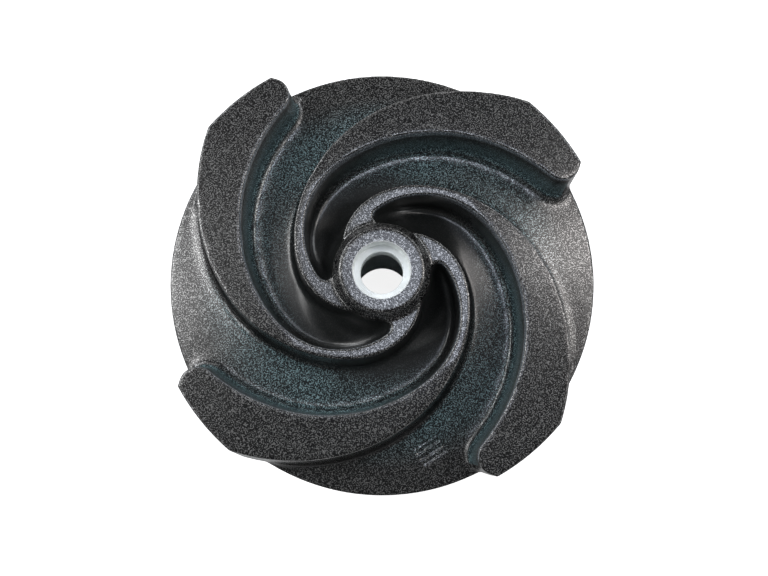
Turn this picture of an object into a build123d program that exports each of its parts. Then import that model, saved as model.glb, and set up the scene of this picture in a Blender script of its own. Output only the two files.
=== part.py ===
from build123d import *
import os
from math import atan2, cos, degrees, exp, hypot, log, radians, sin, tan

# A semi-open centrifugal pump impeller, cast in one piece.
# Millimetres. +Z is the shaft axis, towards the suction eye.
# The origin is on the axis, at the rear end of the hub, which the impeller stands on.
# Angles are counter-clockwise, seen from the suction side.

# ---- Driving sizes: hub and bore ----
hub_tail_length = 61.0           # rear end of the hub to the back of the disc's rim
hub_tail_radius = 29.0
hub_tail_draft = 3.0             # degrees
hub_tail_chamfer = 1.5
hub_tail_fillet = 9.0            # hub to the dished back of the disc
shaft_bore_radius = 17.5
shaft_bore_chamfer = 1.5
screw_hole_radius = 12.0
seat_radius = 16.0               # counterbore that the shaft nut sits in
seat_depth = 11.4                # below the hub's face
seat_web_thickness = 12.0        # web between the counterbore and the shaft bore
seat_mouth_fillet = 0.8
hub_face_radius = 23.8
hub_face_fillet = 1.6
hub_nose_height = 5.6            # hub's face above the flat vane tops
hub_shoulder_width = 3.8         # run of the sloped shoulder around the hub's face
hub_draft = 6.0                  # degrees, on the hub's side inside the passages
hub_foot_fillet = 26.0           # hub's side to the floor of the passages

# ---- Driving sizes: disc ----
disc_radius = 125.0
rim_thickness = 8.0
rim_back_chamfer = 1.0
floor_rise = 7.0                 # degrees, floor of the passages from the rim to the hub
back_land_width = 22.0           # flat ring behind the rim
back_dish_rise = 5.0             # degrees, dished back inside that ring
back_dish_fillet = 12.0

# ---- Driving sizes: vanes ----
vane_count = 4
vane_overhang = 5.5              # the tips stand out past the disc
vane_tip_height = 34.0           # above the front of the disc's rim
vane_top_height = 39.3           # flat inner tops, above the front of the disc's rim
fold_radius = 64.0               # the tops are flat inside it and slope to the tips outside
vane_draft = 3.5                 # degrees, on both sides of a vane, none on its end face
root_fillet = 4.0
tip_edge_fillet = 2.0            # upright edge behind the tip, on the outside
heel_fillet = 10.5               # rounded end behind the tip

# Blade angle laws of the two sides: stations from the hub outwards, each a share of the
# tip radius and the angle from the tangent there, in degrees.
back_side_law = [(0.153, 33.0), (0.215, 33.0), (0.383, 21.0), (0.575, 28.0), (1.027, 22.5)]
front_side_law = [(0.153, 35.0), (0.215, 35.0), (0.444, 25.5), (0.467, 17.0), (0.651, 21.0), (0.893, 20.0)]
tip_angle = 49.2                 # where the back side of the first vane reaches the tip radius
neck_ratio = 0.455               # of the tip radius: where the front side has its bend
neck_thickness = 5.15            # vane across its top at the neck
heel_lean = 50.0                 # degrees from radial, on the end face behind the tip

# ---- Working allowances of the cutting shapes ----
overrun = 25.0                   # how far a cutting shape runs past the casting
law_steps = 60                   # steps that a blade angle is followed in
points_per_side = 15
seam_angle = 250.0
match_tolerance = 0.01           # radii closer than this are the same

# ---- Levels and radii that follow ----
vane_tip_radius = disc_radius + vane_overhang
neck_radius = neck_ratio * vane_tip_radius
hub_shoulder_radius = hub_face_radius + hub_shoulder_width
back_level = hub_tail_length
rim_level = back_level + rim_thickness
tip_level = rim_level + vane_tip_height
top_level = rim_level + vane_top_height
face_level = top_level + hub_nose_height
seat_level = face_level - seat_depth
web_level = seat_level - seat_web_thickness
cut_bottom = back_level
cut_top = face_level + overrun
cut_radius = vane_tip_radius + overrun
pitch_angle = 360 / vane_count


def hub_side_radius(level):
    """Radius of the hub's drafted side at a level."""
    return hub_shoulder_radius + (top_level - level) * tan(radians(hub_draft))


def floor_level(radius):
    """Level of the floor of the passages at a radius."""
    return rim_level + (disc_radius - radius) * tan(radians(floor_rise))


def hub_foot():
    """Radius and level where the hub's side would meet the floor with no fillet."""
    draft = tan(radians(hub_draft))
    rise = tan(radians(floor_rise))
    drop = (top_level - floor_level(hub_shoulder_radius)) / (1 - draft * rise)
    level = top_level - drop
    return hub_side_radius(level), level


def blade_angle(law, radius):
    """Blade angle at a radius, between the two stations of the law around it."""
    share = radius / vane_tip_radius
    for (inner, low), (outer, high) in zip(law, law[1:]):
        if share <= outer:
            break
    return low + (high - low) * (share - inner) / (outer - inner)


def swept_angle(law, start, end):
    """Angle that a side turns through, backwards, from one radius out to another."""
    step = log(end / start) / law_steps
    middles = [start * exp((i + 0.5) * step) for i in range(law_steps)]
    return degrees(sum(step / tan(radians(blade_angle(law, radius))) for radius in middles))


def polar(radius, angle):
    """Point in the plane from a radius and an angle in degrees."""
    return Vector(radius * cos(radians(angle)), radius * sin(radians(angle)))


def back_side_angle(radius):
    """Where the convex side of the first vane stands at a radius."""
    return tip_angle + swept_angle(back_side_law, radius, vane_tip_radius)


def front_side_angle(radius):
    """Where the concave side of the first vane stands at a radius."""
    lean = sin(radians(blade_angle(back_side_law, neck_radius)))
    neck_angle = back_side_angle(neck_radius) - degrees(neck_thickness / (neck_radius * lean))
    return neck_angle - swept_angle(front_side_law, neck_radius, radius)


def side_points(law, angle_at, turned, offset):
    """Points along one side of a vane, from the hub outwards, moved off it by the offset."""
    first = law[0][0]
    ratio = law[-1][0] / first
    points = []
    for i in range(points_per_side):
        radius = vane_tip_radius * first * ratio ** (i / (points_per_side - 1))
        angle = angle_at(radius) + turned
        points.append(polar(radius, angle) + polar(offset, angle + blade_angle(law, radius)))
    return points


def corner(sketch, across, along):
    """Corner of a sketch nearest to a point in its own plane."""
    return sketch.vertices().sort_by_distance(Vector(across, along))[0]


def passage_outline(level):
    """Outline of the space between the first vane and the one behind it, at a level."""
    growth = (top_level - level) * tan(radians(vane_draft))
    heel_radius = front_side_law[-1][0] * vane_tip_radius
    heel_heading = front_side_angle(heel_radius) + front_side_law[-1][1] - 90
    heel_turn = heel_lean + 90 - front_side_law[-1][1]
    front = side_points(front_side_law, front_side_angle, 0, -growth)
    back = side_points(back_side_law, back_side_angle, -pitch_angle, growth)
    front[-1] -= polar(growth / tan(radians(heel_turn)), heel_heading)
    past_heel = front[-1] + polar(2 * overrun, heel_heading + heel_turn)
    back_end = back_side_law[-1][0] * vane_tip_radius
    back_heading = back_side_angle(back_end) - pitch_angle + blade_angle(back_side_law, back_end) - 90
    past_tip = back[-1] + polar(2 * overrun, back_heading)
    past_middle = polar(cut_radius, tip_angle - pitch_angle / 2)
    with BuildSketch(Plane.XY.offset(level)) as outline:
        with BuildLine():
            Spline(*front)
            Line(front[-1], past_heel)
            Polyline(past_heel, past_middle, past_tip)
            Line(past_tip, back[-1])
            Spline(*back)
            Line(back[0], front[0])
        make_face()
        fillet(corner(outline, front[-1].X, front[-1].Y), heel_fillet)
    return outline


# ---- Blank: everything that is turned about the axis ----
back_land_radius = disc_radius - back_land_width
tail_top_radius = hub_tail_radius + back_level * tan(radians(hub_tail_draft))
dish_level = back_level + (back_land_radius - tail_top_radius) * tan(radians(back_dish_rise))

with BuildPart() as blank:
    with BuildSketch(Plane.XZ) as blank_profile:
        with BuildLine():
            Polyline(
                (0, 0),
                (hub_tail_radius, 0),
                (tail_top_radius, dish_level),
                (back_land_radius, back_level),
                (disc_radius, back_level),
                (disc_radius, rim_level),
                (vane_tip_radius, rim_level),
                (vane_tip_radius, tip_level),
                (fold_radius, top_level),
                (hub_shoulder_radius, top_level),
                (hub_face_radius, face_level),
                (0, face_level),
                close=True,
            )
        make_face()
        chamfer(corner(blank_profile, hub_tail_radius, 0), hub_tail_chamfer)
        chamfer(corner(blank_profile, disc_radius, back_level), rim_back_chamfer)
        fillet(corner(blank_profile, tail_top_radius, dish_level), hub_tail_fillet)
        fillet(corner(blank_profile, back_land_radius, back_level), back_dish_fillet)
        fillet(corner(blank_profile, hub_face_radius, face_level), hub_face_fillet)
    revolve(axis=Axis.Z)

# ---- Core shape: what stays under and inside the passages ----
# Its seam stands behind the tips of a vane, clear of the passage that is made below.
axial_plane = Plane((0, 0, 0), x_dir=polar(1, seam_angle), z_dir=polar(1, seam_angle - 90))
with BuildPart() as core:
    with BuildSketch(axial_plane) as core_profile:
        with BuildLine():
            Polyline(
                (0, cut_bottom - overrun),
                (2 * cut_radius, cut_bottom - overrun),
                (2 * cut_radius, floor_level(2 * cut_radius)),
                hub_foot(),
                (hub_side_radius(cut_top + overrun), cut_top + overrun),
                (0, cut_top + overrun),
                close=True,
            )
        make_face()
        fillet(corner(core_profile, *hub_foot()), hub_foot_fillet)
    revolve(axis=Axis.Z)

# ---- Passage: the space that one sand core fills between two vanes ----
with BuildPart() as passage_block:
    loft([passage_outline(cut_bottom).sketch, passage_outline(cut_top).sketch], ruled=True)


def climbs(edge):
    """True for an edge that isn't level."""
    return edge.bounding_box().size.Z > root_fillet / 100


def starts_inside(edge):
    """True for an edge with an end inside the tip radius."""
    ends = [edge @ 0, edge @ 1]
    return min(end.X**2 + end.Y**2 for end in ends) < vane_tip_radius**2


with BuildPart() as passage:
    add(passage_block.part)
    add(core.part, mode=Mode.SUBTRACT)
    root_edges = passage.edges(Select.NEW).filter_by(climbs).filter_by(starts_inside)
    fillet(root_edges, root_fillet)

# ---- Relief: clears the foot of a passage where the vane tips stand past the disc ----
with BuildPart() as rim_relief:
    add(passage_block.part)
    with BuildSketch(Plane.XY.offset(cut_bottom)):
        Circle(2 * cut_radius)
        Circle(disc_radius, mode=Mode.SUBTRACT)
    extrude(amount=cut_top - cut_bottom, mode=Mode.INTERSECT)


def is_behind_tip(edge):
    """True for the upright outside edge at the heel of a vane, behind its tip."""
    middle = edge @ 0.5
    turned = (degrees(atan2(middle.Y, middle.X)) - tip_angle) % pitch_angle
    outside = hypot(middle.X, middle.Y) > disc_radius + vane_overhang / 2
    upright = edge.bounding_box().size.Z > vane_tip_height / 2
    return outside and upright and turned > pitch_angle / 2


def has_radius(size):
    """Test that picks the rings of one radius."""
    return lambda ring: abs(ring.radius - size) < match_tolerance


# ---- Impeller ----
with BuildPart() as impeller:
    add(blank.part)
    with PolarLocations(0, vane_count):
        add(passage.part, mode=Mode.SUBTRACT)
        add(rim_relief.part, mode=Mode.SUBTRACT)

    # Stepped bore: the shaft comes in from the rear, the nut sits in the counterbore.
    with Locations((0, 0, face_level)):
        CounterBoreHole(screw_hole_radius, seat_radius, seat_depth)
    with Locations(Location((0, 0, 0), (180, 0, 0))):
        Hole(shaft_bore_radius, web_level)
    rings = impeller.edges().filter_by(GeomType.CIRCLE).sort_by(Axis.Z)
    chamfer(rings.filter_by(has_radius(shaft_bore_radius))[0], shaft_bore_chamfer)
    fillet(rings.filter_by(has_radius(seat_radius))[-1], seat_mouth_fillet)
    fillet(impeller.edges().filter_by(is_behind_tip), tip_edge_fillet)

impeller.part.label = "impeller"
os.makedirs("parts", exist_ok=True)
export_step(impeller.part, "parts/impeller.step")
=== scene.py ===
"""Looks of a cast, semi-open pump impeller.

A sand-cast skin over the whole casting, a bore turned out of it, and a plain studio around it.
"""

import logging
import math
from dataclasses import dataclass, field
from enum import Enum

import bmesh
import bpy
from mathutils import Matrix, Vector


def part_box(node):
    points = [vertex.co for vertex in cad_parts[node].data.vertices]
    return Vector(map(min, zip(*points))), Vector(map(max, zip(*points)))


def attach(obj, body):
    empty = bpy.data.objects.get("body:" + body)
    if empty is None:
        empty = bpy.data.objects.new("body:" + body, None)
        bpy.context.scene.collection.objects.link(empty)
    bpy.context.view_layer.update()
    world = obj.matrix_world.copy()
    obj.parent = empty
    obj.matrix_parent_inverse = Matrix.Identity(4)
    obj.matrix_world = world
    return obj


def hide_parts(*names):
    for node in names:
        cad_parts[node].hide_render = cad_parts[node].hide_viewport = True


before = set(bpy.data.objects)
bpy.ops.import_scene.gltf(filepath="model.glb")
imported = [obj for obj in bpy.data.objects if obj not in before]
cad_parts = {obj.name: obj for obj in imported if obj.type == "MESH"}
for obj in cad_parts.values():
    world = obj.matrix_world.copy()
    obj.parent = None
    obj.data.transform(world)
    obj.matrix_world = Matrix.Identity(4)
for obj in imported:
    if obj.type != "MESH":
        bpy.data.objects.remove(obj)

log = logging.getLogger("impeller")

Colour = tuple[float, float, float, float]
Band = tuple[float, float]

MM = 0.001
FULL: Band = (0.0, 1.0)
LEVELLED = (1.0, 1.0, 0.0)
DISC_RADIUS = 125 * MM
RIM_LEVEL = 69 * MM
FLOOR_RISE = math.tan(math.radians(7))
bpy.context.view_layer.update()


class Surface(Enum):
    """The two ways that the casting is finished."""

    PAINTED = "painted_casting"
    MACHINED = "machined_iron"


# ---------------------------------------------------------------- node helpers


class NodeSheet:
    """A node tree that nodes are placed in and linked by name."""

    def __init__(self, tree: bpy.types.NodeTree) -> None:
        """Wraps a tree.

        Args:
            tree: Shader, group or geometry tree to fill.
        """
        self.tree = tree

    def add(self, kind: str, settings: dict | None = None, **inputs: object) -> bpy.types.Node:
        """Places a node.

        Args:
            kind: Blender's name for the node's type.
            settings: Properties of the node itself.
            inputs: Values or sockets for its inputs, by name, with _ for a space.

        Returns:
            The new node.
        """
        node = self.tree.nodes.new(kind)
        for name, value in (settings or {}).items():
            setattr(node, name, value)
        for name, value in inputs.items():
            self.feed(node, name.replace("_", " "), value)
        return node

    def feed(self, node: bpy.types.Node, name: str | int, value: object) -> None:
        """Gives an input of a node a value, or a link when the value is a socket.

        Args:
            node: Node that takes the value.
            name: Name or number of its input.
            value: Number, colour, vector, material or output socket.
        """
        socket = node.inputs[name]
        if isinstance(value, bpy.types.NodeSocket):
            self.tree.links.new(value, socket)
        else:
            socket.default_value = value

    def give(self, **values: object) -> None:
        """Ends a group by feeding its outputs.

        Args:
            values: Sockets for the outputs, by name.
        """
        self.add("NodeGroupOutput", None, **values)

    def group(self, tree: bpy.types.NodeTree, **inputs: object) -> bpy.types.bpy_prop_collection:
        """Places a shader node group.

        Args:
            tree: The group's tree.
            inputs: Values or sockets for its inputs, by name, with _ for a space.

        Returns:
            The outputs of the placed group, by name.
        """
        return self.add("ShaderNodeGroup", {"node_tree": tree}, **inputs).outputs

    def math(self, operation: str, *values: object, clamp: bool = False) -> bpy.types.NodeSocket:
        """Places a Math node.

        Args:
            operation: Name of the operation.
            values: Numbers or sockets, in the node's order.
            clamp: Whether the result is held between 0 and 1.

        Returns:
            The node's output.
        """
        node = self.add("ShaderNodeMath", {"operation": operation, "use_clamp": clamp})
        for place, value in enumerate(values):
            self.feed(node, place, value)
        return node.outputs[0]

    def product(self, first: object, *others: object) -> bpy.types.NodeSocket:
        """Multiplies two or more numbers.

        Args:
            first: Number or socket.
            others: Numbers or sockets to multiply it by.

        Returns:
            The product.
        """
        for other in others:
            first = self.math("MULTIPLY", first, other)
        return first

    def vector(
        self, operation: str, *values: object, output: str = "Vector"
    ) -> bpy.types.NodeSocket:
        """Places a Vector Math node.

        Args:
            operation: Name of the operation.
            values: Vectors or sockets, in the node's order.
            output: Name of the output that is wanted, Vector or Value.

        Returns:
            That output.
        """
        node = self.add("ShaderNodeVectorMath", {"operation": operation})
        for place, value in enumerate(values):
            self.feed(node, place, value)
        return node.outputs[output]

    def scaled(self, arrow: object, factor: object) -> bpy.types.NodeSocket:
        """Scales a vector.

        Args:
            arrow: Vector to scale.
            factor: Number to scale it by.

        Returns:
            The scaled vector.
        """
        node = self.add("ShaderNodeVectorMath", {"operation": "SCALE"}, Vector=arrow, Scale=factor)
        return node.outputs["Vector"]

    def level_of(self, arrow: object) -> bpy.types.NodeSocket:
        """Gives the third part of a vector."""
        return self.add("ShaderNodeSeparateXYZ", None, Vector=arrow).outputs[2]

    def noise(
        self, point: object, scale: object, detail: float, seed: object = None
    ) -> bpy.types.NodeSocket:
        """Places a noise texture.

        Args:
            point: Where it is read.
            scale: Number of its features in a metre.
            detail: How many finer layers it has.
            seed: Place along its fourth axis, or None for a noise of three axes.

        Returns:
            The noise, about 0.5 on average.
        """
        axes = {"noise_dimensions": "3D" if seed is None else "4D"}
        node = self.add("ShaderNodeTexNoise", axes, Vector=point, Scale=scale, Detail=detail)
        if seed is not None:
            self.feed(node, "W", seed)
        return node.outputs[0]

    def span(
        self, value: object, band: tuple[object, object], out: Band = FULL
    ) -> bpy.types.NodeSocket:
        """Maps a value from one range to another, smoothly and held at both ends.

        Args:
            value: Socket to map.
            band: Numbers or sockets that give the first and the second output.
            out: First and second output.

        Returns:
            The mapped socket.
        """
        node = self.add("ShaderNodeMapRange", {"interpolation_type": "SMOOTHSTEP"}, Value=value)
        for place, number in zip(("From Min", "From Max", "To Min", "To Max"), (*band, *out)):
            self.feed(node, place, number)
        return node.outputs[0]

    def mix(self, share: object, first: object, second: object) -> bpy.types.NodeSocket:
        """Mixes two colours.

        Args:
            share: Share of the second colour.
            first: Colour at share 0.
            second: Colour at share 1.

        Returns:
            The mixed colour.
        """
        node = self.add("ShaderNodeMix", {"data_type": "RGBA"})
        for place, value in ((0, share), (6, first), (7, second)):
            self.feed(node, place, value)
        return node.outputs[2]


def new_group(
    name: str, kind: str, inputs: dict[str, tuple], outputs: dict[str, str]
) -> tuple[NodeSheet, dict[str, bpy.types.NodeSocket]]:
    """Makes a node group with named sockets.

    Args:
        name: Name of the group.
        kind: ShaderNodeTree or GeometryNodeTree.
        inputs: Socket type and default value of each input, by name.
        outputs: Socket type of each output, by name.

    Returns:
        The group's sheet, and its input sockets by name.
    """
    tree = bpy.data.node_groups.new(name, kind)
    for label, (socket_type, default) in inputs.items():
        socket = tree.interface.new_socket(name=label, in_out="INPUT", socket_type=socket_type)
        if default is not None:
            socket.default_value = default
    for label, socket_type in outputs.items():
        tree.interface.new_socket(name=label, in_out="OUTPUT", socket_type=socket_type)
    sheet = NodeSheet(tree)
    entry = sheet.add("NodeGroupInput")
    return sheet, {label: entry.outputs[label] for label in inputs}


# ---------------------------------------------------------------- shared effects

FLOAT = "NodeSocketFloat"
VECTOR = "NodeSocketVector"


@dataclass(frozen=True)
class SandGrain:
    """The print of moulding sand: fine grain, sparse raised tips and broad cloudy patches.

    Its sizes are those of one grain and one patch, and its heights are shares of the bump's depth.
    """

    grain_size: float = 1 * MM
    cloud_size: float = 30 * MM
    tip_height: float = 0.5
    fine_share: float = 0.3
    grain_detail: float = 1.0
    tip_scale: float = 0.8
    tip_seed: float = 4.0
    tip_band: Band = (0.5, 0.64)
    cloud_detail: float = 3.0
    cloud_band: Band = (0.35, 0.65)

    def tree(self) -> bpy.types.NodeTree:
        """Builds the group.

        Returns:
            A group that gives the grain's height, its raised tips and the patches.
        """
        sheet, ends = new_group(
            "sand_grain",
            "ShaderNodeTree",
            {
                "Point": (VECTOR, None),
                "Grain Size": (FLOAT, self.grain_size),
                "Cloud Size": (FLOAT, self.cloud_size),
                "Tip Height": (FLOAT, self.tip_height),
            },
            {"Height": FLOAT, "Tips": FLOAT, "Clouds": FLOAT},
        )
        point = ends["Point"]
        grain_scale = sheet.math("DIVIDE", 1.0, ends["Grain Size"])
        fine = sheet.noise(point, grain_scale, self.grain_detail)
        tip_scale = sheet.math("MULTIPLY", grain_scale, self.tip_scale)
        sparse = sheet.noise(point, tip_scale, self.grain_detail, self.tip_seed)
        tips = sheet.span(sparse, self.tip_band)
        cloud_scale = sheet.math("DIVIDE", 1.0, ends["Cloud Size"])
        clouds = sheet.noise(point, cloud_scale, self.cloud_detail)
        low = sheet.math("MULTIPLY", fine, self.fine_share)
        height = sheet.math("MULTIPLY_ADD", tips, ends["Tip Height"], low)
        sheet.give(Height=height, Tips=tips, Clouds=sheet.span(clouds, self.cloud_band))
        return sheet.tree


def make_axis_place() -> bpy.types.NodeTree:
    """Builds the group that tells how a point lies to the shaft axis.

    Returns:
        A group that gives Radius and Level in metres, and Inward, the share of the normal that
        points to the axis.
    """
    sheet, ends = new_group(
        "axis_place",
        "ShaderNodeTree",
        {"Point": (VECTOR, None), "Normal": (VECTOR, None)},
        {"Radius": FLOAT, "Level": FLOAT, "Inward": FLOAT},
    )
    flat = sheet.vector("MULTIPLY", ends["Point"], LEVELLED)
    outward = sheet.vector("NORMALIZE", flat)
    along = sheet.vector("DOT_PRODUCT", outward, ends["Normal"], output="Value")
    sheet.give(
        Radius=sheet.vector("LENGTH", flat, output="Value"),
        Level=sheet.level_of(ends["Point"]),
        Inward=sheet.math("MULTIPLY", along, -1.0),
    )
    return sheet.tree


@dataclass(frozen=True)
class CastingZones:
    """The parts of the casting, told apart by radius, level, slope and which way they face.

    Each band holds the value where a zone begins to show and the value where it shows in full.
    """

    floor_level: Band = (98 * MM, 90 * MM)
    floor_flat: Band = (0.8, 0.96)
    floor_beyond: Band = (46 * MM, 66 * MM)
    floor_within: Band = (112 * MM, 88 * MM)
    wall_level: Band = (102 * MM, 98 * MM)
    wall_beyond: Band = (56 * MM, 80 * MM)
    slope_raised: Band = (0.3 * MM, 1.5 * MM)
    slope_inward: Band = (-0.1, 0.03)
    hollow_steep: Band = (0.94, 0.6)
    hollow_level: Band = (102 * MM, 82 * MM)
    lip_level: Band = (100 * MM, 102 * MM)
    lip_steep: Band = (0.82, 0.6)
    lip_inward: Band = (0.03, 0.25)
    back_outward: Band = (-0.25, -0.5)
    back_steep: Band = (0.85, 0.6)
    inner_level: Band = (107.5 * MM, 104.5 * MM)
    inner_within: Band = (72 * MM, 48 * MM)

    def tree(self) -> bpy.types.NodeTree:
        """Builds the group.

        Returns:
            A group that gives the passage floors, the slopes at the vanes' hollow sides, these
            sides themselves, the backs of the vanes, their lips and the space around the hub.
        """
        sheet, ends = new_group(
            "casting_zones",
            "ShaderNodeTree",
            {label: (FLOAT, 0.0) for label in ("Radius", "Level", "Inward", "Up")},
            {label: FLOAT for label in ("Floor", "Slope", "Hollow", "Back", "Lip", "Inner")},
        )
        radius, level, inward, up = ends.values()
        floor = sheet.product(
            sheet.span(level, self.floor_level),
            sheet.span(up, self.floor_flat),
            sheet.span(radius, self.floor_beyond),
            sheet.span(radius, self.floor_within),
        )
        wall = sheet.product(
            sheet.span(level, self.wall_level), sheet.span(radius, self.wall_beyond)
        )
        floor_top = RIM_LEVEL + DISC_RADIUS * FLOOR_RISE
        floor_height = sheet.math("MULTIPLY_ADD", radius, -FLOOR_RISE, floor_top)
        raised = sheet.span(sheet.math("SUBTRACT", level, floor_height), self.slope_raised)
        slope = sheet.product(wall, sheet.span(inward, self.slope_inward), raised)
        steep = sheet.product(
            sheet.span(up, self.hollow_steep), sheet.span(level, self.hollow_level)
        )
        lip_highlight = sheet.product(
            sheet.span(level, self.lip_level),
            sheet.span(up, self.lip_steep),
            sheet.span(inward, self.lip_inward),
        )
        back = sheet.product(
            sheet.span(inward, self.back_outward), sheet.span(up, self.back_steep), wall
        )
        inner = sheet.product(
            sheet.span(level, self.inner_level), sheet.span(radius, self.inner_within)
        )
        hollow = sheet.product(slope, steep)
        sheet.give(Floor=floor, Slope=slope, Hollow=hollow, Back=back, Lip=lip_highlight, Inner=inner)
        return sheet.tree


# ---------------------------------------------------------------- finishes


@dataclass(frozen=True)
class PaintedCasting:
    """Charcoal paint over a sand-cast iron skin.

    A colour whose name ends in glint belongs to the tips of the grain and paints glints of the
    lamps there. The floor colours paint a teal reflection, the hollow colours paint light on the
    shaded hollow sides of the vanes, the lip colours paint a highlight along their edges, and the
    backs of the vanes get painted shade. The hub's surroundings, called inner, are smoother than
    the rest, and the slopes at the vanes' hollow sides are duller.
    """

    plain: Colour = (0.002, 0.002, 0.002, 1.0)
    # The glint colours are painted glints of the lamps on the tips of the real grain.
    plain_grain_glint: Colour = (0.12, 0.12, 0.118, 1.0)
    # The floor colours hold a painted teal reflection of the lamps on the passage floors.
    floor: Colour = (0.006, 0.012, 0.014, 1.0)
    floor_grain_glint: Colour = (0.22, 0.36, 0.39, 1.0)
    # The hollow colours are painted light on the shaded hollow sides of the vanes.
    hollow: Colour = (0.018, 0.03, 0.034, 1.0)
    hollow_grain_glint: Colour = (0.30, 0.44, 0.47, 1.0)
    # The lip colours are a painted highlight along the vanes' edges.
    lip_highlight: Colour = (0.08, 0.09, 0.10, 1.0)
    lip_grain_glint: Colour = (0.45, 0.5, 0.55, 1.0)
    # Least share of the floor's painted reflection, varied by the clouds.
    least_reflection_tint: float = 0.65
    inner: Colour = (0.012, 0.0135, 0.0135, 1.0)
    grain_size: float = 0.54 * MM
    cloud_size: float = 34 * MM
    tip_height: float = 0.16
    grain_depth: float = 0.2 * MM
    inner_smoothness: float = 0.85
    roughness: Band = (0.2, 0.24)
    slope_roughness: float = 0.25
    inner_roughness: float = 0.1
    ior: float = 1.65
    specular: float = 0.2
    gloss: Band = (0.22, 1.0)
    slope_dullness: float = 0.85
    # Share by which painted shade darkens the vanes' backs.
    back_painted_shade: float = 0.8
    gloss_ior: float = 2.3
    gloss_roughness: float = 0.2

    def material(self, groups: dict[str, bpy.types.NodeTree]) -> bpy.types.Material:
        """Builds the material.

        Args:
            groups: The shared effects, by name.

        Returns:
            The painted material.
        """
        made = bpy.data.materials.new(Surface.PAINTED.value)
        made.use_nodes = True
        sheet = NodeSheet(made.node_tree)
        shader = made.node_tree.nodes["Principled BSDF"]
        coords = sheet.add("ShaderNodeTexCoord").outputs
        place = sheet.group(
            groups["axis_place"], Point=coords["Object"], Normal=coords["Normal"]
        )
        zones = sheet.group(
            groups["casting_zones"],
            Radius=place["Radius"],
            Level=place["Level"],
            Inward=place["Inward"],
            Up=sheet.level_of(coords["Normal"]),
        )
        grain = sheet.group(
            groups["sand_grain"],
            Point=coords["Object"],
            Grain_Size=self.grain_size,
            Cloud_Size=self.cloud_size,
            Tip_Height=self.tip_height,
        )
        smooth = sheet.math("MULTIPLY", zones["Inner"], self.inner_smoothness)
        rough = sheet.math("SUBTRACT", 1.0, smooth)
        # Painted shade on the vanes' backs, which cuts down their glints and gloss.
        unshaded = sheet.math("MULTIPLY_ADD", zones["Back"], -self.back_painted_shade, 1.0)
        tips = sheet.product(grain["Tips"], rough, unshaded)
        sheet.feed(shader, "Base Color", self.colour(sheet, zones, grain["Clouds"], tips))
        sheet.feed(shader, "Roughness", self.dullness(sheet, zones, grain["Clouds"]))
        bump = sheet.add("ShaderNodeBump", None, Height=sheet.product(grain["Height"], rough))
        bump.inputs["Strength"].default_value = 1.0
        bump.inputs["Distance"].default_value = self.grain_depth
        sheet.feed(shader, "Normal", bump.outputs[0])
        gloss = sheet.span(tips, FULL, self.gloss)
        open_share = sheet.math("MULTIPLY_ADD", zones["Slope"], -self.slope_dullness, 1.0)
        sheet.feed(shader, "Coat Weight", sheet.product(gloss, open_share, unshaded))
        shader.inputs["IOR"].default_value = self.ior
        shader.inputs["Specular IOR Level"].default_value = self.specular
        shader.inputs["Coat IOR"].default_value = self.gloss_ior
        shader.inputs["Coat Roughness"].default_value = self.gloss_roughness
        return made

    def colour(
        self, sheet: NodeSheet, zones: bpy.types.bpy_prop_collection, clouds: object, tips: object
    ) -> bpy.types.NodeSocket:
        """Gives the paint's colour, with painted reflection, light, highlight, glints and shade in
        it.

        Args:
            sheet: Sheet to place the nodes on.
            zones: The parts of the casting, by name.
            clouds: Broad patches.
            tips: Raised tips of the grain, which take the painted glints, fewer on the vanes'
                backs.

        Returns:
            The colour.
        """
        patchy = sheet.span(clouds, FULL, (self.least_reflection_tint, 1.0))
        # Share of the floor's painted teal reflection.
        reflection_tint = sheet.math("MULTIPLY", zones["Floor"], patchy)
        paint = sheet.mix(reflection_tint, self.plain, self.floor)
        # Colours of the grain's tips, with painted glints of the lamps.
        raised = sheet.mix(reflection_tint, self.plain_grain_glint, self.floor_grain_glint)
        pairs = {
            "Hollow": (self.hollow, self.hollow_grain_glint),
            "Lip": (self.lip_highlight, self.lip_grain_glint),
        }
        # Painted light on the vanes' hollow sides and a painted highlight on their lips.
        for zone, (low, high) in pairs.items():
            paint = sheet.mix(zones[zone], paint, low)
            raised = sheet.mix(zones[zone], raised, high)
        paint = sheet.mix(zones["Inner"], paint, self.inner)
        return sheet.mix(tips, paint, raised)

    def dullness(
        self, sheet: NodeSheet, zones: bpy.types.bpy_prop_collection, clouds: object
    ) -> bpy.types.NodeSocket:
        """Gives the paint's roughness.

        Args:
            sheet: Sheet to place the nodes on.
            zones: The parts of the casting, by name.
            clouds: Broad patches.

        Returns:
            The roughness.
        """
        rough = sheet.span(clouds, FULL, self.roughness)
        rough = sheet.math("MULTIPLY_ADD", zones["Slope"], self.slope_roughness, rough)
        return sheet.math("MULTIPLY_ADD", zones["Inner"], self.inner_roughness, rough)


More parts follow.
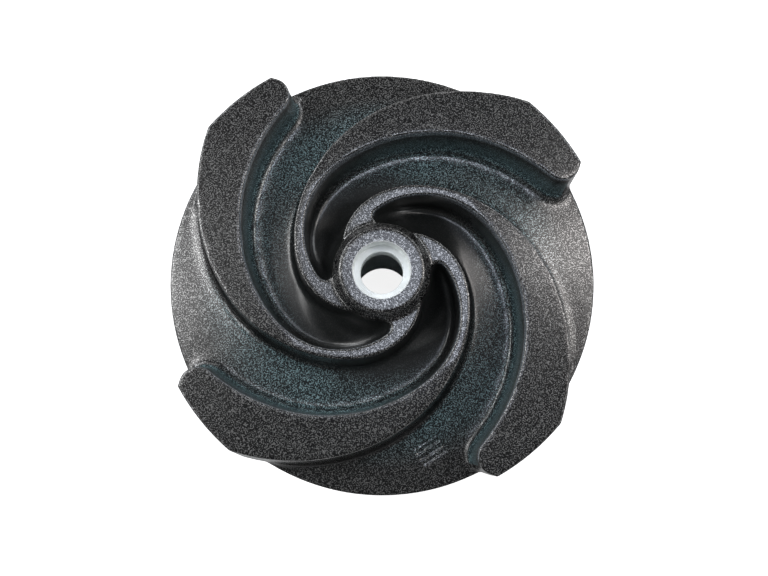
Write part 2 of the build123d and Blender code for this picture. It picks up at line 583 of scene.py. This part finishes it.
@dataclass(frozen=True)
class MachinedIron:
    """Bare turned iron with fine tool rings and stains, and painted shade deep in the shaft bore.
    """

    bright: Colour = (0.90, 0.93, 0.93, 1.0)
    # Colour of the stains, and of the painted shade in the shaft bore.
    dull_stain_and_shade: Colour = (0.58, 0.62, 0.62, 1.0)
    metallic: float = 0.25
    grain_size: float = 1.4 * MM
    cloud_size: float = 9 * MM
    tip_height: float = 0.1
    grain_share: float = 0.5
    ring_pitch: float = 0.45 * MM
    ring_depth: float = 0.02 * MM
    ring_strength: float = 0.35
    roughness: Band = (0.32, 0.42)
    stain_share: float = 0.18
    # Levels between which the shaft bore gets painted shade; the seat above and the rear end stay
    # bright.
    shade_deep_band: Band = (92.6 * MM, 90.6 * MM)
    shade_foot_band: Band = (0.2 * MM, 2 * MM)

    def material(self, groups: dict[str, bpy.types.NodeTree]) -> bpy.types.Material:
        """Builds the material.

        Args:
            groups: The shared effects, by name.

        Returns:
            The machined material.
        """
        made = bpy.data.materials.new(Surface.MACHINED.value)
        made.use_nodes = True
        sheet = NodeSheet(made.node_tree)
        shader = made.node_tree.nodes["Principled BSDF"]
        point = sheet.add("ShaderNodeTexCoord").outputs["Object"]
        place = sheet.group(groups["axis_place"], Point=point)
        grain = sheet.group(
            groups["sand_grain"],
            Point=point,
            Grain_Size=self.grain_size,
            Cloud_Size=self.cloud_size,
            Tip_Height=self.tip_height,
        )
        walk = sheet.math("ADD", place["Radius"], place["Level"])
        wave = sheet.math("SINE", sheet.math("MULTIPLY", walk, math.tau / self.ring_pitch))
        height = sheet.math("MULTIPLY_ADD", grain["Height"], self.grain_share, wave)
        bump = sheet.add("ShaderNodeBump", None, Height=height)
        bump.inputs["Strength"].default_value = self.ring_strength
        bump.inputs["Distance"].default_value = self.ring_depth
        sheet.feed(shader, "Normal", bump.outputs[0])
        # Painted shade inside the shaft bore.
        bore_painted_shade = sheet.product(
            sheet.span(place["Level"], self.shade_deep_band), sheet.span(place["Level"], self.shade_foot_band)
        )
        shaded_bore = sheet.mix(bore_painted_shade, self.bright, self.dull_stain_and_shade)
        stained = sheet.math("MULTIPLY", grain["Clouds"], self.stain_share)
        sheet.feed(shader, "Base Color", sheet.mix(stained, shaded_bore, self.dull_stain_and_shade))
        sheet.feed(shader, "Roughness", sheet.span(grain["Clouds"], FULL, self.roughness))
        shader.inputs["Metallic"].default_value = self.metallic
        return made


# ---------------------------------------------------------------- the casting


@dataclass
class SandCastSkin:
    """Geometry Nodes that ease a casting's edges and give it the unevenness of a sand mould.

    The fill builds up the hollow corners away from the hub. Swell and ripple are the large and the
    small unevenness, and the mark is a ridged patch in the floor of one passage.
    """

    ease_steps: int = 1
    fill_steps: int = 45
    fill_from: float = 45 * MM
    fill_full: float = 80 * MM
    swell_size: float = 24 * MM
    swell_height: float = 0.15 * MM
    ripple_size: float = 5 * MM
    ripple_height: float = 0.035 * MM
    noise_detail: float = 2.0
    flat_below: float = 1.0 * MM
    mark_place: tuple[float, float, float] = (28.0 * MM, -98.5 * MM, 0.0)
    mark_turn: float = math.radians(32)
    mark_pitch: float = 3.8 * MM
    mark_depth: float = 1.5 * MM
    mark_bend: float = 0.9
    mark_bend_size: float = 5 * MM
    mark_length: Band = (9.5 * MM, 6.5 * MM)
    mark_width: Band = (6.5 * MM, 4.5 * MM)
    mark_level: Band = (62 * MM, 68 * MM)
    seed: float = 7.3

    def tree(self) -> bpy.types.NodeTree:
        """Builds the geometry tree.

        Returns:
            The tree, with named inputs for its sizes.
        """
        sheet, ends = new_group(
            "sand_cast_skin",
            "GeometryNodeTree",
            {
                "Geometry": ("NodeSocketGeometry", None),
                "Ease Steps": ("NodeSocketInt", self.ease_steps),
                "Fill Steps": ("NodeSocketInt", self.fill_steps),
                "Fill From": (FLOAT, self.fill_from),
                "Fill Full": (FLOAT, self.fill_full),
                "Swell Size": (FLOAT, self.swell_size),
                "Swell Height": (FLOAT, self.swell_height),
                "Ripple Size": (FLOAT, self.ripple_size),
                "Ripple Height": (FLOAT, self.ripple_height),
                "Flat Below": (FLOAT, self.flat_below),
                "Mark Place": (VECTOR, self.mark_place),
                "Mark Turn": (FLOAT, self.mark_turn),
                "Mark Pitch": (FLOAT, self.mark_pitch),
                "Mark Depth": (FLOAT, self.mark_depth),
                "Seed": (FLOAT, self.seed),
                "Material": ("NodeSocketMaterial", None),
            },
            {"Geometry": "NodeSocketGeometry"},
        )
        spot = sheet.add("GeometryNodeInputPosition").outputs[0]
        normal = sheet.add("GeometryNodeInputNormal").outputs[0]
        level = sheet.level_of(spot)
        eased = self.moved(
            sheet, ends["Geometry"], Position=self.blurred(sheet, spot, ends["Ease Steps"])
        )
        fill = self.fill(sheet, ends, spot, normal)
        filled = self.moved(sheet, eased, Offset=sheet.scaled(normal, fill))
        swell = self.swell(sheet, ends, spot, level)
        rise = sheet.math("SUBTRACT", swell, self.mark(sheet, ends, spot, level))
        cast = self.moved(sheet, filled, Offset=sheet.scaled(normal, rise))
        smooth = sheet.add("GeometryNodeSetShadeSmooth", None, Geometry=cast).outputs[0]
        real = sheet.add("GeometryNodeRealizeInstances", None, Geometry=smooth).outputs[0]
        dressed = sheet.add(
            "GeometryNodeSetMaterial", None, Geometry=real, Material=ends["Material"]
        )
        sheet.give(Geometry=dressed.outputs[0])
        return sheet.tree

    def moved(
        self, sheet: NodeSheet, geometry: bpy.types.NodeSocket, **inputs: object
    ) -> bpy.types.NodeSocket:
        """Moves the points of a mesh.

        Args:
            sheet: Sheet to place the node on.
            geometry: The mesh.
            inputs: Position, or Offset, for each point.

        Returns:
            The moved mesh.
        """
        node = sheet.add("GeometryNodeSetPosition", None, Geometry=geometry, **inputs)
        return node.outputs[0]

    def blurred(self, sheet: NodeSheet, spot: object, steps: object) -> bpy.types.NodeSocket:
        """Averages the points of a mesh with their neighbours.

        Args:
            sheet: Sheet to place the node on.
            spot: Position of each point.
            steps: Number of rounds.

        Returns:
            The averaged positions.
        """
        blur = sheet.add("GeometryNodeBlurAttribute", {"data_type": "FLOAT_VECTOR"})
        entry = next(s for s in blur.inputs if s.enabled and s.type == "VECTOR")
        sheet.tree.links.new(spot, entry)
        sheet.feed(blur, "Iterations", steps)
        return next(s for s in blur.outputs if s.enabled and s.type == "VECTOR")

    def fill(
        self, sheet: NodeSheet, ends: dict, spot: object, normal: object
    ) -> bpy.types.NodeSocket:
        """Gives how far the hollow corners away from the hub are built up.

        Args:
            sheet: Sheet to place the nodes on.
            ends: The tree's own inputs.
            spot: Position of each point.
            normal: Normal at each point.

        Returns:
            How far each point moves out.
        """
        away = sheet.vector("SUBTRACT", self.blurred(sheet, spot, ends["Fill Steps"]), spot)
        hollow = sheet.vector("DOT_PRODUCT", away, normal, output="Value")
        flat = sheet.vector("MULTIPLY", spot, LEVELLED)
        reach = sheet.vector("LENGTH", flat, output="Value")
        outer = sheet.span(reach, (ends["Fill From"], ends["Fill Full"]))
        return sheet.product(sheet.math("MAXIMUM", hollow, 0.0), outer)

    def swell(
        self, sheet: NodeSheet, ends: dict, spot: object, level: object
    ) -> bpy.types.NodeSocket:
        """Gives the unevenness of the skin, which leaves the rear end flat.

        Args:
            sheet: Sheet to place the nodes on.
            ends: The tree's own inputs.
            spot: Position of each point.
            level: Height of each point.

        Returns:
            How far each point moves out, which is never above zero.
        """
        sunk = []
        for size, height in (("Swell Size", "Swell Height"), ("Ripple Size", "Ripple Height")):
            scale = sheet.math("DIVIDE", 1.0, ends[size])
            noise = sheet.noise(spot, scale, self.noise_detail, ends["Seed"])
            sunk.append(sheet.product(sheet.math("SUBTRACT", 0.0, noise), ends[height]))
        above = sheet.math("SUBTRACT", level, ends["Flat Below"])
        cast = sheet.math("DIVIDE", above, ends["Flat Below"], clamp=True)
        return sheet.product(sheet.math("ADD", *sunk), cast)

    def mark(
        self, sheet: NodeSheet, ends: dict, spot: object, level: object
    ) -> bpy.types.NodeSocket:
        """Gives the depth of the shallow ridged mark in one passage floor.

        Args:
            sheet: Sheet to place the nodes on.
            ends: The tree's own inputs.
            spot: Position of each point.
            level: Height of each point.

        Returns:
            How deep the floor is dented at each point.
        """
        local = sheet.vector("SUBTRACT", spot, ends["Mark Place"])
        about_z = {"rotation_type": "Z_AXIS", "invert": True}
        turned = sheet.add("ShaderNodeVectorRotate", about_z, Vector=local, Angle=ends["Mark Turn"])
        parts = sheet.add("ShaderNodeSeparateXYZ", None, Vector=turned.outputs[0])
        along, across, _ = parts.outputs
        bend = sheet.noise(spot, 1 / self.mark_bend_size, self.noise_detail)
        wave = sheet.math("DIVIDE", across, ends["Mark Pitch"])
        wave = sheet.math("ADD", wave, sheet.math("MULTIPLY", bend, self.mark_bend))
        wave = sheet.math("COSINE", sheet.math("MULTIPLY", wave, math.tau))
        wave = sheet.math("MULTIPLY_ADD", wave, 0.5, 0.5)
        return sheet.product(
            wave,
            bend,
            sheet.span(sheet.math("ABSOLUTE", along), self.mark_length),
            sheet.span(sheet.math("ABSOLUTE", across), self.mark_width),
            sheet.span(level, self.mark_level),
            ends["Mark Depth"],
        )


@dataclass
class TurnedBore:
    """What is turned after casting: counterbore, nut seat, screw hole and shaft bore."""

    face_level: float = 113.9 * MM
    seat_radius: float = 16.0 * MM
    seat_level: float = 102.5 * MM
    hole_radius: float = 12.0 * MM
    web_level: float = 90.5 * MM
    bore_radius: float = 17.5 * MM
    chamfer: float = 1.5 * MM
    mouth_round: float = 0.8 * MM
    round_steps: int = 4
    corner: float = 0.3 * MM
    overrun: float = 4.0 * MM
    steps: int = 144
    blank_radius: float = 20.0 * MM

    def mouth(self) -> list[tuple[float, float]]:
        """Gives the rounded edge between the hub's face and the counterbore.

        Returns:
            Radius and level of each point, from the face down.
        """
        size = self.mouth_round
        turns = [0.5 * math.pi * step / self.round_steps for step in range(self.round_steps + 1)]
        return [
            (
                self.seat_radius + size - size * math.sin(turn),
                self.face_level - size + size * math.cos(turn),
            )
            for turn in turns
        ]

    def profile(self) -> list[tuple[float, float]]:
        """Gives the outline of the metal that is turned away.

        Returns:
            Radius and level of each point, from above the hub's face to below its rear end.
        """
        corner = self.corner
        return [
            (self.seat_radius + self.mouth_round, self.face_level + self.overrun),
            *self.mouth(),
            (self.seat_radius, self.seat_level + corner),
            (self.seat_radius - corner, self.seat_level),
            (self.hole_radius + corner, self.seat_level),
            (self.hole_radius, self.seat_level - corner),
            (self.hole_radius, self.web_level + corner),
            (self.hole_radius + corner, self.web_level),
            (self.bore_radius, self.web_level),
            (self.bore_radius, self.chamfer),
            (self.bore_radius + self.chamfer, 0.0),
            (self.bore_radius + self.chamfer, -self.overrun),
        ]

    def turn(
        self, name: str, outline: list[tuple[float, float]], materials: list[bpy.types.Material]
    ) -> bpy.types.Object:
        """Turns an outline about the axis into a closed body.

        Args:
            name: Name of the new object.
            outline: Radius and level of each point, from the top down.
            materials: Materials of its mesh; its faces take the last one.

        Returns:
            The closed body.
        """
        work = bmesh.new()
        turns = [math.tau * step / self.steps for step in range(self.steps)]
        rings = [
            [work.verts.new((radius * math.cos(t), radius * math.sin(t), level)) for t in turns]
            for radius, level in outline
        ]
        for upper, lower in zip(rings, rings[1:]):
            for step in range(self.steps):
                after = (step + 1) % self.steps
                work.faces.new((upper[after], upper[step], lower[step], lower[after]))
        work.faces.new(rings[0])
        work.faces.new(list(reversed(rings[-1])))
        for face in work.faces:
            face.material_index = max(0, len(materials) - 1)
        mesh = bpy.data.meshes.new(name)
        work.to_mesh(mesh)
        work.free()
        for material in materials:
            mesh.materials.append(material)
        body = bpy.data.objects.new(name, mesh)
        bpy.context.scene.collection.objects.link(body)
        return body

    def blank(self) -> bpy.types.Object:
        """Makes the plug that fills the bore of the casting before it is turned."""
        ends = [(self.blank_radius, self.face_level), (self.blank_radius, 0.0)]
        return self.turn("bore_blank", ends, [])

    def cutter(self, materials: list[bpy.types.Material]) -> bpy.types.Object:
        """Makes the body that is taken away.

        Args:
            materials: The casting's materials, the machined one last.

        Returns:
            The cutting body.
        """
        return self.turn("bore_cutter", self.profile(), materials)


@dataclass
class Casting:
    """The whole impeller: disc, vanes and hub as cast, with the bore turned out of it."""

    node: str = "impeller"
    name: str = "impeller_casting"
    merge_distance: float = 0.001 * MM
    voxel: float = 0.8 * MM
    quick_voxel: float = 1.6 * MM
    triangle_limit: int = 188000
    end_depth: float = 0.15 * MM
    end_facing: float = -0.9
    sharp_angle: float = math.radians(28)
    machined_slot: int = 1
    skin: SandCastSkin = field(default_factory=SandCastSkin)
    bore: TurnedBore = field(default_factory=TurnedBore)

    def build(
        self, painted: bpy.types.Material, machined: bpy.types.Material
    ) -> bpy.types.Object:
        """Makes the piece from a copy of the solid.

        Args:
            painted: Finish of the cast skin.
            machined: Finish of what is turned.

        Returns:
            The finished piece.
        """
        piece = self.copy_of_solid()
        remesh = piece.modifiers.new("even_mesh", "REMESH")
        remesh.mode = "VOXEL"
        remesh.voxel_size = self.voxel
        self.bake(piece)
        self.add_skin(piece, painted)
        self.thin_out(piece)
        self.keep_in_box(piece.data)
        self.turn_bore(piece, [painted, machined])
        self.face_rear_end(piece.data)
        log.info("casting: %d faces", len(piece.data.polygons))
        return piece

    def copy_of_solid(self) -> bpy.types.Object:
        """Copies the solid's mesh, merges its loose triangles and fills its bore.

        Returns:
            A new object whose meshes are closed.
        """
        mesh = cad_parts[self.node].data.copy()
        mesh.name = self.name
        mesh.materials.clear()
        work = bmesh.new()
        work.from_mesh(mesh)
        bmesh.ops.remove_doubles(work, verts=work.verts, dist=self.merge_distance)
        blank = self.bore.blank()
        work.from_mesh(blank.data)
        work.to_mesh(mesh)
        work.free()
        self.drop(blank)
        piece = bpy.data.objects.new(self.name, mesh)
        bpy.context.scene.collection.objects.link(piece)
        return piece

    def add_skin(self, piece: bpy.types.Object, painted: bpy.types.Material) -> None:
        """Runs the sand-cast skin over the even mesh.

        Args:
            piece: The casting with its bore still filled.
            painted: Finish of the cast skin.
        """
        nodes = piece.modifiers.new("sand_cast_skin", "NODES")
        nodes.node_group = self.skin.tree()
        items = nodes.node_group.interface.items_tree
        sockets = {item.name: item.identifier for item in items if item.in_out == "INPUT"}
        nodes[sockets["Material"]] = painted
        self.bake(piece)

    def thin_out(self, piece: bpy.types.Object) -> None:
        """Takes faces away from a mesh that has too many.

        Args:
            piece: The casting after its skin is made.
        """
        triangles = sum(len(face.vertices) - 2 for face in piece.data.polygons)
        log.info("casting: %d triangles in the skin", triangles)
        if triangles > self.triangle_limit:
            thin = piece.modifiers.new("fewer_faces", "DECIMATE")
            thin.ratio = self.triangle_limit / triangles
            self.bake(piece)

    def drop(self, helper: bpy.types.Object) -> None:
        """Takes a helper and its mesh out of the file.

        Args:
            helper: Object that isn't needed any more.
        """
        mesh = helper.data
        bpy.data.objects.remove(helper)
        bpy.data.meshes.remove(mesh)

    def bake(self, piece: bpy.types.Object) -> None:
        """Turns a piece's modifiers into a plain mesh.

        Args:
            piece: Piece whose modifiers are applied and removed.
        """
        graph = bpy.context.evaluated_depsgraph_get()
        graph.update()
        fresh = bpy.data.meshes.new_from_object(piece.evaluated_get(graph))
        piece.modifiers.clear()
        old = piece.data
        piece.data = fresh
        bpy.data.meshes.remove(old)
        fresh.name = piece.name

    def turn_bore(self, piece: bpy.types.Object, materials: list[bpy.types.Material]) -> None:
        """Takes the turned shape out of the casting.

        Args:
            piece: The casting with its bore still filled.
            materials: Its materials, the machined one last.
        """
        piece.data.materials.clear()
        for material in materials:
            piece.data.materials.append(material)
        cutter = self.bore.cutter(materials)
        cut = piece.modifiers.new("turned_bore", "BOOLEAN")
        cut.operation = "DIFFERENCE"
        cut.solver = "EXACT"
        cut.object = cutter
        self.bake(piece)
        self.drop(cutter)

    def face_rear_end(self, mesh: bpy.types.Mesh) -> None:
        """Gives the hub's rear end the machined finish and sets the turned edges sharp.

        Args:
            mesh: The casting's mesh after its bore is turned.
        """
        work = bmesh.new()
        work.from_mesh(mesh)
        for face in work.faces:
            face.smooth = True
            low = all(spot.co.z < self.end_depth for spot in face.verts)
            if low and face.normal.z < self.end_facing:
                face.material_index = self.machined_slot
        for edge in work.edges:
            turned = any(face.material_index == self.machined_slot for face in edge.link_faces)
            if turned and edge.calc_face_angle(math.pi) > self.sharp_angle:
                edge.smooth = False
        loose = sum(1 for edge in work.edges if len(edge.link_faces) != 2)
        log.info("casting: %d edges that don't join two faces", loose)
        work.to_mesh(mesh)
        work.free()

    def keep_in_box(self, mesh: bpy.types.Mesh) -> None:
        """Holds every point inside the solid's own box.

        Args:
            mesh: Mesh to hold.
        """
        low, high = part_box(self.node)
        for spot in mesh.vertices:
            spot.co = Vector(min(max(c, a), b) for c, a, b in zip(spot.co, low, high))


# ---------------------------------------------------------------- studio


@dataclass(frozen=True)
class Softbox:
    """A rectangular soft lamp, placed by the direction it is seen in from the hub's face.

    It leans lean_x and lean_y degrees from straight up, and fills span_x by span_y degrees.
    """

    name: str
    lean_x: float
    lean_y: float
    span_x: float
    span_y: float
    radiance: float
    colour: tuple[float, float, float] = (1.0, 1.0, 1.0)
    distance: float = 3.0

    def build(self, target: Vector) -> None:
        """Places the lamp.

        Args:
            target: Point that it faces.
        """
        lamp = bpy.data.lights.new(self.name, "AREA")
        lamp.shape = "RECTANGLE"
        lamp.size = 2 * self.distance * math.tan(math.radians(self.span_x / 2))
        lamp.size_y = 2 * self.distance * math.tan(math.radians(self.span_y / 2))
        lamp.energy = self.radiance * math.pi * lamp.size * lamp.size_y
        lamp.color = self.colour
        holder = bpy.data.objects.new(self.name, lamp)
        lean = (math.tan(math.radians(self.lean_x)), math.tan(math.radians(self.lean_y)), 1.0)
        way = Vector(lean).normalized()
        holder.location = target + way * self.distance
        holder.rotation_euler = way.to_track_quat("Z", "Y").to_euler()
        bpy.context.scene.collection.objects.link(holder)


@dataclass
class Studio:
    """A pale floor, soft lamps and the camera."""

    eye: Vector = field(default_factory=lambda: Vector((3.07, -102.25, 796.85)) * MM)
    aim: Vector = field(default_factory=lambda: Vector((1.18, -4.22, 69.0)) * MM)
    focal_px: float = 1246.6
    frame_width_px: float = 768.0
    sensor: float = 36.0
    clip: Band = (0.01, 100.0)
    floor_half: float = 4.0
    floor_colour: Colour = (0.8, 0.8, 0.8, 1.0)
    floor_roughness: float = 0.9
    floor_glow: float = 0.86
    room_colour: Colour = (0.93, 0.97, 1.0, 1.0)
    room_glow: float = 0.12
    white: Colour = (1.0, 1.0, 1.0, 1.0)
    lamp_target: Vector = field(default_factory=lambda: Vector((0.0, 0.0, 100 * MM)))
    lamps: tuple[Softbox, ...] = (
        Softbox("key_above", 2.6, 8.0, 12.0, 15.0, 4.3, (0.80, 0.86, 1.0)),
        Softbox("key_left", -9.0, 13.0, 9.0, 8.0, 1.9),
        Softbox("left_far", -49.0, 8.0, 14.0, 50.0, 3.8),
        Softbox("left_near", -38.0, 18.0, 12.0, 22.0, 5.4),
        Softbox("right_inner", 27.0, 15.0, 7.0, 22.0, 5.2, (1.0, 0.96, 0.94)),
        Softbox("right_mid", 37.0, 12.0, 10.0, 20.0, 3.5, (1.0, 0.96, 0.93)),
        Softbox("right_far", 50.0, 4.0, 14.0, 44.0, 2.2, (1.0, 0.96, 0.94)),
        Softbox("corner_left", -54.0, 50.0, 26.0, 22.0, 4.2, (0.95, 0.97, 1.0)),
        Softbox("corner_right", 52.0, 50.0, 26.0, 26.0, 2.6, (0.92, 0.96, 1.0)),
        Softbox("back_strip", 0.0, 60.0, 60.0, 14.0, 2.4),
        Softbox("low_left", -52.0, -28.0, 20.0, 18.0, 2.6),
        Softbox("low_right", 60.0, -38.0, 16.0, 18.0, 3.0),
    )

    def build(self) -> None:
        """Makes the floor, the world, the lamps and the camera."""
        self.make_floor()
        self.make_world()
        for lamp in self.lamps:
            lamp.build(self.lamp_target)
        self.make_camera()
        bpy.context.scene.view_settings.view_transform = "Standard"
        log.info("studio: %d lamps", len(self.lamps))

    def make_floor(self) -> None:
        """Lays a wide white floor under the part, which the camera sees as plain white."""
        half = self.floor_half
        corners = [(-half, -half, 0), (half, -half, 0), (half, half, 0), (-half, half, 0)]
        mesh = bpy.data.meshes.new("floor")
        mesh.from_pydata(corners, [], [(0, 1, 2, 3)])
        floor = bpy.data.objects.new("floor", mesh)
        bpy.context.scene.collection.objects.link(floor)
        made = bpy.data.materials.new("floor_white")
        made.use_nodes = True
        sheet = NodeSheet(made.node_tree)
        shader = made.node_tree.nodes["Principled BSDF"]
        shader.inputs["Base Color"].default_value = self.floor_colour
        shader.inputs["Roughness"].default_value = self.floor_roughness
        shader.inputs["Emission Color"].default_value = self.white
        seen = sheet.add("ShaderNodeLightPath").outputs["Is Camera Ray"]
        sheet.feed(shader, "Emission Strength", sheet.product(seen, self.floor_glow))
        mesh.materials.append(made)

    def make_world(self) -> None:
        """Fills the room with a low even light, and shows white behind everything."""
        world = bpy.data.worlds.new("room")
        bpy.context.scene.world = world
        world.use_nodes = True
        sheet = NodeSheet(world.node_tree)
        world.node_tree.nodes.clear()
        path = sheet.add("ShaderNodeLightPath")
        glow = sheet.add(
            "ShaderNodeBackground", None, Color=self.room_colour, Strength=self.room_glow
        )
        white = sheet.add("ShaderNodeBackground", None, Color=self.white, Strength=1.0)
        both = sheet.add("ShaderNodeMixShader")
        sheet.feed(both, 0, path.outputs["Is Camera Ray"])
        sheet.feed(both, 1, glow.outputs[0])
        sheet.feed(both, 2, white.outputs[0])
        sheet.add("ShaderNodeOutputWorld", None, Surface=both.outputs[0])

    def make_camera(self) -> None:
        """Sets the camera above the suction side."""
        data = bpy.data.cameras.new("camera")
        data.sensor_width = self.sensor
        data.lens = self.focal_px / self.frame_width_px * self.sensor
        data.clip_start, data.clip_end = self.clip
        camera = bpy.data.objects.new("camera", data)
        bpy.context.scene.collection.objects.link(camera)
        ahead = (self.aim - self.eye).normalized()
        right = ahead.cross(Vector((0.0, 1.0, 0.0))).normalized()
        up = right.cross(ahead)
        camera.location = self.eye
        camera.rotation_mode = "QUATERNION"
        camera.rotation_quaternion = Matrix((right, up, -ahead)).transposed().to_quaternion()
        bpy.context.scene.camera = camera


def main() -> None:
    """Builds the casting and the studio, hangs the casting on the root body and hides the solid it
    replaces.
    """
    groups = {
        "sand_grain": SandGrain().tree(),
        "axis_place": make_axis_place(),
        "casting_zones": CastingZones().tree(),
    }
    casting = Casting().build(PaintedCasting().material(groups), MachinedIron().material(groups))
    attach(casting, "root")
    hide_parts("impeller")
    Studio().build()


if __name__ == "__main__":
    logging.basicConfig(level=logging.INFO, format="%(message)s")
    main()
